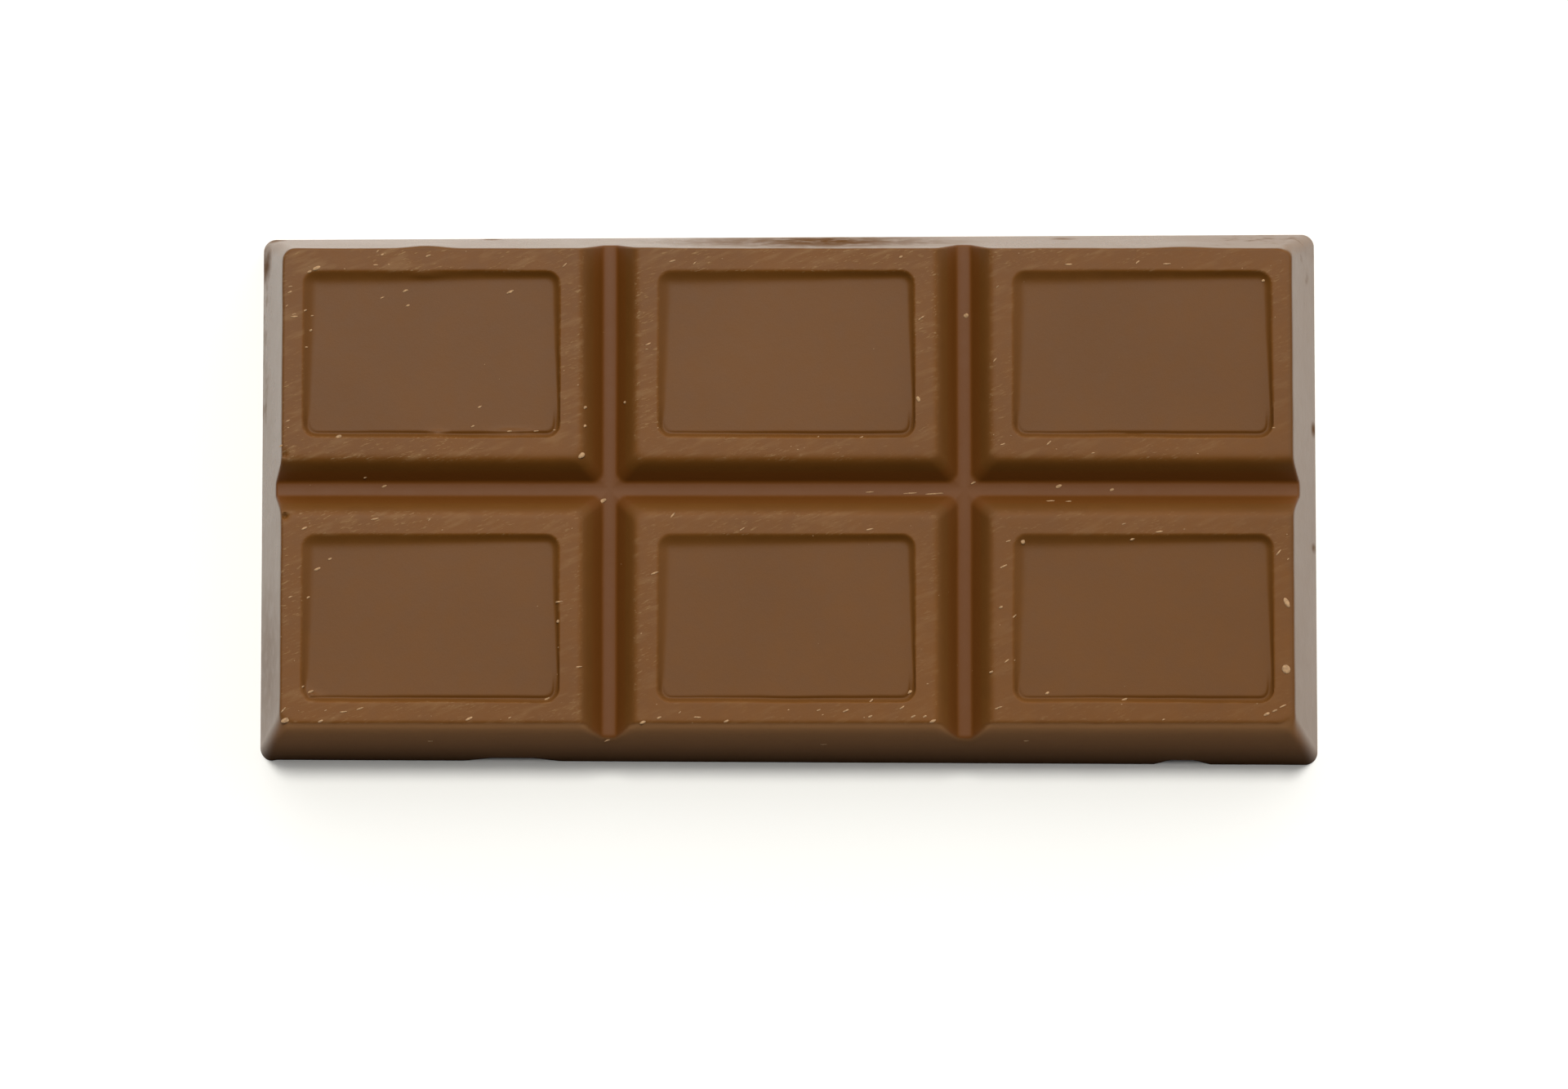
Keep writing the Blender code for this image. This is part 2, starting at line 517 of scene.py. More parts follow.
def blank_sheet(shape):
    """A flat, closed, two-sided sheet of the bar's outline.

    The upper side is a fine grid, whose points carry the number 1 in the attribute "moulded".
    The lower side is a coarse one, and its outer cells take in all the points of the rim.
    """
    lines_x, lines_y = sheet_lines(shape)
    across, along = len(lines_y), len(lines_x)
    grid_x, grid_y = np.meshgrid(lines_x, lines_y, indexing="ij")
    half_x, half_y = shape.length / 2, shape.width / 2
    grid_x, grid_y = round_off(grid_x, grid_y, half_x, half_y, shape.back_corner)
    vertices = [(x, y, 0.0) for x, y in zip(grid_x.ravel(), grid_y.ravel())]
    upper = len(vertices)

    def fine(i, j):
        return i * across + j

    faces = [
        (fine(i, j), fine(i + 1, j), fine(i + 1, j + 1), fine(i, j + 1))
        for i in range(along - 1)
        for j in range(across - 1)
    ]

    stride = 6
    picked_x = sorted({*range(0, along, stride), along - 1})
    picked_y = sorted({*range(0, across, stride), across - 1})
    under = {}
    for i in picked_x:
        for j in picked_y:
            if 0 < i < along - 1 and 0 < j < across - 1:
                under[i, j] = len(vertices)
                vertices.append((grid_x[i, j], grid_y[i, j], 0.0))
            else:
                under[i, j] = fine(i, j)
    for i, next_i in zip(picked_x, picked_x[1:]):
        for j, next_j in zip(picked_y, picked_y[1:]):
            last = [fine(i, k) for k in range(j + 1, next_j)] if i == 0 else []
            top = [fine(k, next_j) for k in range(i + 1, next_i)] if next_j == across - 1 else []
            right = [fine(next_i, k) for k in range(next_j - 1, j, -1)]
            right = right if next_i == along - 1 else []
            bottom = [fine(k, j) for k in range(next_i - 1, i, -1)] if j == 0 else []
            faces.append((
                under[i, j], *last, under[i, next_j], *top,
                under[next_i, next_j], *right, under[next_i, j], *bottom,
            ))

    piece = new_piece("moulded_bar", vertices, faces)
    flags = piece.data.attributes.new("moulded", "FLOAT", "POINT")
    values = np.zeros(len(vertices), dtype=np.float32)
    values[:upper] = 1.0
    flags.data.foreach_set("value", values)
    return piece


# ---------------------------------------------------------------------------------------------
# The relief of the bar
# ---------------------------------------------------------------------------------------------

def inside(recipe, x, y, half_x, half_y, corner):
    """Distance inwards from the outline of a rounded rectangle."""
    past_x = abs(x) - (half_x - corner)
    past_y = abs(y) - (half_y - corner)
    out_x = recipe.higher(past_x, 0.0)
    out_y = recipe.higher(past_y, 0.0)
    beyond = recipe.root(out_x * out_x + out_y * out_y)
    within = recipe.lower(recipe.higher(past_x, past_y), 0.0)
    return corner - beyond - within


# Places on the face, in millimetres: middle, reach along X and Y, and height or depth.
SMEARED_STEPS = [
    ((-23.6, 4.7), (3.2, 0.8), 0.55),
    ((-30.2, 4.6), (0.9, 0.7), 0.80),
    ((-31.2, 18.8), (2.2, 0.8), 0.55),
    ((-41.4, -18.3), (1.6, 1.1), 0.95),
]
PITS = [
    ((-43.35, -2.60), (0.36, 0.42), 0.60),
    ((-43.40, 2.75), (0.34, 0.40), 0.30),
    ((43.45, -12.5), (0.32, 0.20), 0.55),
    ((-33.7, -10.7), (0.30, 0.30), 0.10),
    ((45.4, 22.6), (0.90, 0.80), 1.40),
]
SWELLINGS = [
    ((-31.2, 21.2), (3.2, 1.0), 0.22),
    ((34.5, 21.2), (4.0, 1.0), 0.12),
    ((-12.0, 21.2), (3.5, 1.0), 0.08),
]
NEAR_FOOT_CHIPS = [
    (-24.0, 4.6, 0.26),
    (34.2, 2.6, 0.38),
    (-45.4, 0.9, -0.10),
]


def relief_tree(settings, material):
    """Geometry tree that raises the flat sheet to the face and walls of the bar."""
    recipe, size = geometry_recipe("bar_relief", settings)
    place = recipe.add("GeometryNodeInputPosition")["Position"]
    flat_x, flat_y, _ = recipe.split(place)

    stray = size["waver"]
    east = recipe.ramp(flat_x, 20 * MM, 44 * MM)
    x = flat_x + recipe.noise(place, 9 * MM, 3.0) * stray - east * size["stretch"]
    x = x + recipe.noise(place, 1.6 * MM, 8.0) * stray * 0.35
    y = flat_y + recipe.noise(place, 9 * MM, 5.0) * stray
    y = y + recipe.noise(place, 1.6 * MM, 9.0) * stray * 0.35

    pitch_x = size["block_length"] + size["groove_width"]
    pitch_y = size["block_width"] + size["groove_width"]
    from_groove_x = abs(abs(x) - pitch_x / 2)
    from_groove_y = abs(y)
    half_floor = size["groove_floor"] / 2
    ridge = recipe.round_lower(
        from_groove_x - half_floor, from_groove_y - half_floor, size["block_corner"]
    )
    wall_run = (size["groove_width"] - size["groove_floor"]) / 2
    climb = recipe.lower(ridge / wall_run, 1.4)
    climb = climb * (1.0 + size["groove_bulge"] * (1.0 - climb))
    block = recipe.soft_lower(
        climb * size["groove_depth"], size["groove_depth"], size["groove_softness"]
    )
    off_middle = recipe.lower(recipe.lower(from_groove_x, from_groove_y), size["groove_width"] / 2)
    gutter = off_middle * off_middle / (2.0 * size["gutter_radius"])
    rise = recipe.soft_higher(block, gutter, size["foot_softness"])

    column = recipe.higher(recipe.lower(recipe.maths("ROUND", x / pitch_x), 1.0), -1.0)
    own_x = x - column * pitch_x
    own_y = abs(y) - pitch_y / 2
    into_panel = inside(
        recipe, own_x, own_y, size["panel_length"] / 2, size["panel_width"] / 2, size["panel_corner"]
    )
    into_panel = into_panel + recipe.noise(place, 3.2 * MM, 15.0) * stray * 1.6
    across_block = recipe.maths("SIGN", y) * own_y
    far_end = recipe.ramp(across_block, size["panel_width"] * -0.5, size["panel_width"] * 0.5, -1.0)
    right_end = recipe.ramp(own_x, size["panel_length"] * -0.5, size["panel_length"] * 0.5, -1.0)
    down = into_panel / (size["panel_step"] + size["panel_lean"] * (far_end - right_end * 0.9))
    sunk = recipe.soft_lower(recipe.soft_higher(down, 0.0, 0.22), 1.0, 0.75)
    smear = 0.0
    ragged = recipe.ramp(recipe.noise(place, 1.3 * MM, 21.0, detail=3.0), -0.18, 0.12)
    for centre, reach, strength in SMEARED_STEPS:
        smear = recipe.patch(flat_x, flat_y, centre, reach) * ragged * strength + smear
    near_step = recipe.ramp(into_panel, 1.1 * MM, 0.45 * MM)
    moulded = size["height"] - size["groove_depth"] + rise
    moulded = moulded - size["panel_depth"] * sunk * (1.0 - smear * near_step)
    crease = recipe.ramp(abs(into_panel - 0.42 * MM), 0.27 * MM, 0.0)
    crease = crease * recipe.ramp(across_block, size["panel_width"] * -0.32, size["panel_width"] * -0.45)
    moulded = moulded - crease * size["crease_depth"]

    for centre, reach, depth in PITS:
        moulded = moulded - recipe.patch(flat_x, flat_y, centre, reach) * (depth * MM)

    outline = recipe.round_lower(
        size["length"] / 2 - abs(flat_x), size["width"] / 2 - abs(flat_y), size["back_corner"]
    )
    uneven = recipe.noise(place, 5 * MM, 31.0) * 0.10 * MM
    for centre, reach, bulge in SWELLINGS:
        uneven = recipe.patch(flat_x, flat_y, centre, reach) * (bulge * MM) + uneven
    inner = recipe.ramp(outline, 0.0, 0.8 * MM)
    wall = (outline + uneven * inner) * (size["height"] / size["draft_run"])
    at_right = recipe.ramp(size["length"] / 2 - flat_x, 3 * MM, 2 * MM)
    wall = wall * (1.0 + at_right * size["stretch"] / size["draft_run"])
    from_near = size["width"] / 2 + flat_y
    near_side = recipe.ramp(size["length"] / 2 - abs(flat_x) - from_near, -1.5 * MM, 1.0 * MM)
    near_side = near_side * recipe.ramp(flat_y, -6 * MM, -12 * MM)
    softness = near_side * (size["near_softness"] - size["rim_softness"]) + size["rim_softness"]
    leaned = recipe.higher(1.0 - outline / size["draft_run"], 0.0)
    wall = wall * (leaned * near_side * size["near_bulge"] + 1.0)
    z = recipe.soft_lower(moulded, wall, softness)
    z = recipe.lower(z, size["height"])
    z = recipe.higher(z, 0.0) * recipe.kept("moulded")

    on_top = recipe.ramp(rise, size["groove_depth"] - 0.22 * MM, size["groove_depth"] - 0.02 * MM)
    on_top = on_top * recipe.ramp(outline, size["draft_run"] * 0.95, size["draft_run"] * 1.15)
    rim = on_top * recipe.ramp(into_panel, 0.25 * MM, 0.0) * recipe.kept("moulded")
    lip_groove = recipe.ramp(rise, size["groove_depth"] - 0.42 * MM, size["groove_depth"] - 0.10 * MM)
    lip_outer = recipe.ramp(outline, size["draft_run"] * 0.85, size["draft_run"] * 1.05)
    far_from_lip = recipe.ramp(
        inside(recipe, own_x, own_y, size["block_length"] / 2, size["block_width"] / 2, 0.75 * MM),
        0.1 * MM, 0.75 * MM,
    )
    lip = lip_groove * lip_outer * (1.0 - far_from_lip)

    geometry = recipe.keep(size["Geometry"], "rim", rim)
    geometry = recipe.keep(geometry, "lip", lip)
    geometry = recipe.keep(geometry, "panel", sunk * on_top)
    on_wall = recipe.ramp(wall - moulded, 0.05 * MM, -0.45 * MM)
    geometry = recipe.keep(geometry, "wall", on_wall)
    ragged_edge = recipe.noise(place, 1.2 * MM, 33.0, detail=3.0) * 0.6 * MM
    near_wall = recipe.ramp(wall - moulded + ragged_edge, 0.75 * MM, 0.05 * MM) * near_side
    geometry = recipe.keep(geometry, "near_wall", near_wall)
    geometry = recipe.keep(geometry, "level", z / size["height"])

    level = recipe.kept("level")
    along = flat_x / (size["length"] / 2)
    low = recipe.ramp(level, 0.16, 0.0)
    final_y = flat_y * (1.0 + size["back_flare"] * along * (1.0 - level))
    near = recipe.ramp(flat_y, size["width"] * -0.40, size["width"] * -0.45)
    for middle, reach, depth in NEAR_FOOT_CHIPS:
        chip = recipe.ramp(abs(flat_x - middle * MM), reach * MM, reach * 0.3 * MM)
        final_y = final_y + chip * low * near * (depth * MM)
    final_y = final_y + size["shift_y"] * level
    final_x = flat_x + size["shift_x"] * level
    settled = recipe.vector(final_x, final_y, level * size["height"])
    geometry = recipe.add(
        "GeometryNodeSetPosition", None, {"Geometry": geometry, "Position": settled}
    )["Geometry"]
    close_geometry(recipe, geometry, material)
    return recipe.tree


# ---------------------------------------------------------------------------------------------
# Materials
# ---------------------------------------------------------------------------------------------

def new_material(name):
    """An empty node material."""
    material = bpy.data.materials.new(name)
    material.use_nodes = True
    material.node_tree.nodes.clear()
    return material, Recipe(material.node_tree)


def finish_surface(recipe, inputs, *layers):
    """End a material in its surface shader, with other finishes laid over it by their shares."""
    surface = recipe.add("ShaderNodeBsdfPrincipled", None, inputs)["BSDF"]
    for layer_share, layer_inputs in layers:
        layer = recipe.add("ShaderNodeBsdfPrincipled", None, layer_inputs)["BSDF"]
        blend = {0: layer_share, 1: surface, 2: layer}
        surface = recipe.add("ShaderNodeMixShader", None, blend)[0]
    recipe.add("ShaderNodeOutputMaterial", None, {"Surface": surface})


def rgba(values):
    return (*values, 1.0)


def scaled(values, factor):
    """A colour made darker or lighter."""
    return tuple(factor * value for value in values)


# Smudges on the outer walls, in millimetres: middle, reach along X and Y, and strength.
WALL_SMUDGES = [
    ((3.5, 22.4), (6.0, 1.7), 0.30),
    ((2.0, 22.2), (17.0, 1.8), 0.62),
    ((-45.7, 20.6), (0.7, 2.2), 0.80),
    ((-44.9, 22.8), (1.2, 0.5), 0.60),
    ((45.8, 6.0), (0.35, 0.9), 0.80),
    ((45.8, -4.5), (0.35, 0.6), 0.70),
    ((24.0, 22.7), (1.5, 0.3), 0.60),
    ((-26.0, 22.9), (1.2, 0.3), 0.50),
    ((-45.2, -14.0), (1.8, 10.0), 0.16),
]


def milk_chocolate(finish):
    """Satin moulded chocolate: scuffed rims, smooth panels, a fine grain, and light and shade painted on
    the near wall.
    """
    material, recipe = new_material(SLOT)
    place = recipe.add("ShaderNodeTexCoord")["Object"]
    rim = recipe.attribute("rim")
    lip = recipe.attribute("lip")

    cloud = recipe.noise(place, 14 * MM, 41.0, detail=3.0)
    mottle = recipe.noise(place, 1.4 * MM, 42.0, detail=3.0)
    shade = recipe.ramp(cloud * 0.8 + mottle * 0.45, -0.25, 0.25)
    body = recipe.mix_colour(shade, rgba(scaled(finish.base, 0.93)), rgba(scaled(finish.base, 1.07)))
    rims = recipe.mix_colour(shade, rgba(scaled(finish.rim, 0.92)), rgba(scaled(finish.rim, 1.08)))
    body = recipe.mix_colour(rim, body, rims)
    wall = recipe.attribute("wall")
    near_wall = recipe.attribute("near_wall")
    far_wall = recipe.higher(wall - near_wall, 0.0)
    body = recipe.mix_colour(far_wall, body, rgba(finish.outer))
    level = recipe.attribute("level")
    deep = recipe.ramp(level, 0.90, 0.84) * (1.0 - wall)
    body = recipe.mix_colour(deep, body, rgba(finish.groove))
    across, along = recipe.split(place)[:2]
    smudged = recipe.ramp(cloud + mottle * 0.5, 0.16, 0.30) * 0.25
    for centre, reach, strength in WALL_SMUDGES:
        smudged = recipe.patch(across, along, centre, reach) * strength + smudged
    smudged = smudged * recipe.ramp(mottle, -0.20, 0.10, 0.40)
    smudged = recipe.lower(smudged, 1.0) * far_wall
    body = recipe.mix_colour(smudged, body, rgba(finish.smudge))

    slanted = recipe.add(
        "ShaderNodeMapping",
        {"vector_type": "TEXTURE"},
        {"Vector": place, "Rotation": (0.0, 0.0, math.radians(21)), "Scale": (4.5, 1.0, 1.0)},
    )["Vector"]
    streaks = recipe.noise(slanted, 0.15 * MM, 51.0, detail=2.0, roughness=0.6)
    broader = recipe.noise(slanted, 0.55 * MM, 53.0, detail=2.0)
    patches = recipe.ramp(recipe.noise(place, 3.5 * MM, 52.0, detail=3.0), -0.12, 0.16)
    scratched = recipe.ramp(streaks, 0.05, 0.22) * patches
    rubbed = (scratched + recipe.ramp(broader, -0.02, 0.25) * 0.35) * (rim + lip * 0.5)
    rubbed = rubbed * recipe.ramp(across * 0.6 - along, -35 * MM, 45 * MM, 1.0, 0.30)
    scuffs = recipe.lower(rubbed * finish.scuff, 1.0)
    coloured = recipe.mix_colour(scuffs, body, rgba(finish.scuffed))

    grain = recipe.noise(place, 0.16 * MM, 61.0, detail=2.0)
    dimples = recipe.noise(place, 0.7 * MM, 62.0, detail=2.0)
    relief = grain * 0.006 + dimples * 0.012 + rubbed * 0.016
    normal = recipe.add(
        "ShaderNodeBump", None, {"Strength": 1.0, "Distance": 1.0 * MM, "Height": relief}
    )["Normal"]
    drift = across * 0.45 - along * 1.3
    roughness = finish.roughness + drift + rubbed * 0.10 + mottle * 0.06
    roughness = roughness + wall * (finish.wall_roughness - finish.roughness)
    roughness = roughness + smudged * 0.35 + wall * cloud * 0.12
    # Painted light and shade on the near wall: its colour goes from lighter at the top to near black at
    # the foot, by height.
    lit = level * (0.7 + 0.3 * level)
    near_painted_shading = recipe.mix_colour(lit, rgba(finish.near_foot), rgba(finish.near_top))
    near_painted_shading = recipe.mix_colour(scuffs * 0.5, near_painted_shading, rgba(finish.scuffed))
    coloured = recipe.mix_colour(near_wall, coloured, near_painted_shading)
    satin = {
        "Base Color": coloured,
        "Roughness": roughness,
        "IOR": finish.refraction,
        "Normal": normal,
    }
    dull_roughness = finish.near_roughness
    dull = {**satin, "Roughness": dull_roughness, "IOR": finish.dull_refraction}
    smooth = {**satin, "IOR": finish.wall_refraction}
    far_side = recipe.ramp(along, 20.5 * MM, 21.5 * MM) * far_wall
    dulled = recipe.lower(near_wall + far_side * 0.12 + smudged, 1.0)
    finish_surface(recipe, satin, (far_wall, smooth), (dulled, dull))
    return material


def crumb_chocolate(finish):
    """Broken chocolate, paler and duller than the moulded skin."""
    material, recipe = new_material("chocolate_crumb")
    place = recipe.add("ShaderNodeTexCoord")["Object"]
    shade = recipe.ramp(recipe.noise(place, 0.25 * MM, 71.0, detail=2.0), -0.2, 0.2)
    dull = tuple(0.6 * value for value in finish.crumb)
    body = recipe.mix_colour(shade, rgba(dull), rgba(finish.crumb))
    grain = recipe.noise(place, 0.06 * MM, 72.0)
    normal = recipe.add(
        "ShaderNodeBump", None, {"Strength": 1.0, "Distance": 1.0 * MM, "Height": grain * 0.01}
    )["Normal"]
    finish_surface(recipe, {
        "Base Color": body,
        "Roughness": 0.65,
        "IOR": finish.refraction,
        "Normal": normal,
    })
    return material


def floor_finish(stage):
    """Matt pale studio floor with the faintest mottle."""
    material, recipe = new_material("studio_floor")
    place = recipe.add("ShaderNodeTexCoord")["Object"]
    shade = recipe.ramp(recipe.noise(place, 60 * MM, 81.0), -0.3, 0.3)
    paler = tuple(min(1.0, 1.01 * value) for value in stage.floor)
    body = recipe.mix_colour(shade, rgba(stage.floor), rgba(paler))
    finish_surface(recipe, {"Base Color": body, "Roughness": 0.9})
    return material


# ---------------------------------------------------------------------------------------------
# Slivers and crumbs
# ---------------------------------------------------------------------------------------------

# Slivers that stand out, in millimetres: place on the face, then length and width.
MARKED_SLIVERS = [
    (-33.3, 17.1, 0.55, 0.22), (-24.2, 17.0, 0.75, 0.22), (-33.1, 15.8, 0.40, 0.16),
    (-39.0, 4.2, 0.60, 0.36), (15.4, 15.2, 0.50, 0.42), (11.2, 7.5, 0.35, 0.55),
    (23.4, 0.2, 0.60, 0.30), (28.0, -0.1, 0.40, 0.26), (16.0, 0.5, 0.55, 0.16),
    (20.2, -4.9, 0.40, 0.55), (29.7, -4.7, 0.50, 0.22), (41.2, 18.0, 0.40, 0.25),
    (-40.8, -7.3, 0.65, 0.24), (-19.9, -11.9, 0.40, 0.30), (-20.9, -18.6, 0.60, 0.22),
    (10.4, -18.0, 0.55, 0.28), (4.9, -19.7, 0.60, 0.16), (-27.6, -20.4, 0.70, 0.20),
    (28.9, -18.7, 0.70, 0.20), (22.3, -18.1, 0.40, 0.24), (-14.2, 7.4, 0.30, 0.24),
    (9.7, 20.0, 0.35, 0.18), (43.0, -10.3, 0.45, 0.95), (42.9, -16.1, 0.75, 0.85),
    (41.2, -20.0, 0.60, 0.26), (41.9, -19.7, 0.50, 0.18), (42.6, -19.3, 0.65, 0.15),
    (18.3, -10.7, 0.40, 0.24), (-41.5, 13.6, 0.35, 0.20), (17.5, -16.3, 0.45, 0.20),
    (10.5, -0.4, 1.30, 0.10), (12.6, -0.45, 1.70, 0.12), (7.0, -0.3, 0.80, 0.10),
    (22.6, -1.2, 0.90, 0.12), (24.2, -1.25, 0.60, 0.12), (-15.6, -21.9, 0.80, 0.14),
    (-17.7, 6.8, 0.45, 0.24), (-17.7, 5.2, 0.35, 0.26), (-18.0, 2.6, 0.75, 0.50),
    (-26.8, 6.9, 0.40, 0.16), (-27.4, 5.2, 0.40, 0.14), (-24.2, 4.75, 0.45, 0.12),
    (-21.9, 4.8, 0.50, 0.12), (-20.3, 4.9, 0.35, 0.12), (-35.3, 16.5, 0.40, 0.14),
    (-41.0, 19.0, 0.80, 0.35), (-41.6, 18.7, 0.40, 0.22), (-31.3, 20.1, 0.50, 0.18),
    (-35.3, 20.2, 0.35, 0.16), (-42.0, 15.3, 0.45, 0.14), (-41.4, 14.9, 0.35, 0.12),
    (-41.9, 12.1, 0.40, 0.12), (-43.3, 16.9, 0.40, 0.14), (-43.4, 5.6, 0.40, 0.14),
    (-35.1, 0.2, 0.50, 0.18), (-36.7, 0.9, 0.40, 0.14), (-16.2, -1.1, 0.80, 0.35),
    (-39.7, -6.4, 0.40, 0.16), (-41.6, -9.8, 0.45, 0.16), (-43.1, -9.8, 0.40, 0.14),
    (-41.3, -18.0, 0.55, 0.22), (-42.0, -17.6, 0.40, 0.18), (-43.4, -20.5, 0.90, 0.45),
    (-40.4, -20.6, 0.50, 0.20), (-41.9, -3.8, 0.60, 0.20), (7.0, -20.2, 0.45, 0.18),
    (10.7, -20.2, 0.50, 0.18), (11.7, -20.2, 0.40, 0.16), (12.4, -20.6, 0.60, 0.24),
    (-12.6, -20.7, 0.60, 0.26), (-11.2, -20.3, 0.45, 0.18), (-5.4, -20.6, 0.50, 0.18),
    (-31.0, -22.0, 0.50, 0.12), (3.0, -22.2, 0.60, 0.12), (20.5, -22.0, 0.45, 0.12),
]


def surface_finder(piece):
    """A function that gives the height of a piece straight below a place."""
    tree = BVHTree.FromPolygons(
        [vertex.co for vertex in piece.data.vertices],
        [tuple(face.vertices) for face in piece.data.polygons],
    )
    top = CAD_HIGH.z + 1 * MM

    def height_at(x, y):
        hit, _, _, _ = tree.ray_cast(Vector((x, y, top)), Vector((0.0, 0.0, -1.0)))
        if hit is None:
            raise RuntimeError(f"no chocolate under {x:.4f}, {y:.4f}")
        return hit.z

    return height_at


def sliver_tree(settings, material, bar):
    """Geometry tree that lays slivers at marked points and strays over the rims."""
    recipe, size = geometry_recipe("slivers", settings)
    bar_mesh = recipe.add("GeometryNodeObjectInfo", None, {"Object": bar})["Geometry"]
    stray = recipe.add(
        "GeometryNodeDistributePointsOnFaces",
        {"distribute_method": "RANDOM"},
        {"Mesh": bar_mesh, "Density": recipe.kept("rim") * size["sliver_density"],
         "Seed": size["seed"]},
    )["Points"]
    vary = recipe.chance(0.35, 1.0, 3)
    vary = vary * vary
    stray = recipe.keep(stray, "long", vary * size["sliver_length"] * 1.5)
    stray = recipe.keep(stray, "broad", (0.4 + 0.6 * vary) * size["sliver_width"])
    stray = recipe.keep(stray, "lean", 1.0)
    marked = recipe.add("GeometryNodeMeshToPoints", None, {"Mesh": size["Geometry"]})["Points"]
    joined = recipe.add("GeometryNodeJoinGeometry")
    recipe.tree.links.new(stray.socket, joined.node.inputs[0])
    recipe.tree.links.new(marked.socket, joined.node.inputs[0])

    grit = recipe.add("GeometryNodeMeshIcoSphere", None, {"Radius": 0.5, "Subdivisions": 2})["Mesh"]
    turn = recipe.chance(-0.45, 0.45, 5)
    angle = recipe.vector(0.0, 0.0, (turn + size["slant"]) * recipe.kept("lean"))
    long = recipe.kept("long")
    broad = recipe.kept("broad")
    placed = recipe.add(
        "GeometryNodeInstanceOnPoints",
        None,
        {"Points": joined["Geometry"], "Instance": grit, "Rotation": angle,
         "Scale": recipe.vector(long, broad, recipe.lower(broad * 0.6, 0.14 * MM))},
    )["Instances"]
    real = recipe.add("GeometryNodeRealizeInstances", None, {"Geometry": placed})["Geometry"]
    place = recipe.add("GeometryNodeInputPosition")["Position"]
    roughen = recipe.vector(
        recipe.noise(place, 0.16 * MM, 11.0) * 0.14 * MM,
        recipe.noise(place, 0.16 * MM, 12.0) * 0.10 * MM,
        recipe.noise(place, 0.12 * MM, 13.0) * 0.05 * MM,
    )
    real = recipe.add(
        "GeometryNodeSetPosition", None, {"Geometry": real, "Offset": roughen}
    )["Geometry"]
    close_geometry(recipe, real, material)
    return recipe.tree


def crumb_tree(settings, material):
    """Geometry tree that strews round crumbs over the rims and into the grooves."""
    recipe, size = geometry_recipe("crumbs", settings)
    density = recipe.kept("rim") + recipe.ramp(recipe.kept("level"), 0.5, 0.7) * 0.1
    density = density * size["crumb_density"]
    upward = recipe.split(recipe.add("GeometryNodeInputNormal")["Normal"])[2]
    points = recipe.add(
        "GeometryNodeDistributePointsOnFaces",
        {"distribute_method": "RANDOM"},
        {"Mesh": size["Geometry"], "Density": density * recipe.ramp(upward, 0.3, 0.8),
         "Seed": size["seed"]},
    )["Points"]
    grit = recipe.add("GeometryNodeMeshIcoSphere", None, {"Radius": 0.5, "Subdivisions": 1})["Mesh"]
    vary = recipe.chance(0.3, 1.1, 4)
    width = vary * vary * size["crumb_size"]
    placed = recipe.add(
        "GeometryNodeInstanceOnPoints",
        None,
        {"Points": points, "Instance": grit,
         "Scale": recipe.vector(width, width * 0.85, width * 0.6)},
    )["Instances"]
    close_geometry(recipe, placed, material)
    return recipe.tree


# ---------------------------------------------------------------------------------------------
# Operators
# ---------------------------------------------------------------------------------------------

class CHOCOLATE_OT_mould_bar(bpy.types.Operator):
    """Mould the bar with its blocks, grooves and sunk panels"""

    bl_idname = "chocolate.mould_bar"
    bl_label = "Mould bar"

    def execute(self, context):
        scene = context.scene
        settings = settings_of(scene.bar_shape)
        material = milk_chocolate(scene.chocolate_finish)
        bar = blank_sheet(scene.bar_shape)
        grow(bar, relief_tree(settings, material), settings)
        bar.data.shade_smooth()
        bar.data.set_sharp_from_angle(angle=math.radians(55))
        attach(bar, BODY)
        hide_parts(BAR_NODE)
        return {"FINISHED"}


class CHOCOLATE_OT_lay_slivers(bpy.types.Operator):
    """Lay pale slivers of chocolate on the rims and in the grooves"""

    bl_idname = "chocolate.lay_slivers"
    bl_label = "Lay slivers"

    def execute(self, context):
        scene = context.scene
        settings = settings_of(scene.crumb_settings)
        bar = bpy.data.objects["moulded_bar"]
        height_at = surface_finder(bar)
        points = []
        for x, y, _, _ in MARKED_SLIVERS:
            points.append((x * MM, y * MM, height_at(x * MM, y * MM)))
        slivers = new_piece("slivers", points, [])
        sizes = {
            "long": [length * MM for _, _, length, _ in MARKED_SLIVERS],
            "broad": [width * MM for _, _, _, width in MARKED_SLIVERS],
            "lean": [1.0 if width > 0.125 else 0.15 for _, _, _, width in MARKED_SLIVERS],
        }
        for name, values in sizes.items():
            data = slivers.data.attributes.new(name, "FLOAT", "POINT").data
            data.foreach_set("value", values)
        material = crumb_chocolate(scene.chocolate_finish)
        grow(slivers, sliver_tree(settings, material, bar), settings)
        slivers.data.shade_smooth()
        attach(slivers, BODY)
        return {"FINISHED"}


class CHOCOLATE_OT_strew_crumbs(bpy.types.Operator):
    """Strew small crumbs over the face of the bar"""

    bl_idname = "chocolate.strew_crumbs"
    bl_label = "Strew crumbs"

    def execute(self, context):
        scene = context.scene
        settings = settings_of(scene.crumb_settings)
        crumbs = bpy.data.objects["moulded_bar"].copy()
        crumbs.name = "crumbs"
        for key in list(crumbs.keys()):
            del crumbs[key]
        scene.collection.objects.link(crumbs)
        material = crumb_chocolate(scene.chocolate_finish)
        grow(crumbs, crumb_tree(settings, material), settings)
        crumbs.data.shade_smooth()
        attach(crumbs, BODY)
        return {"FINISHED"}


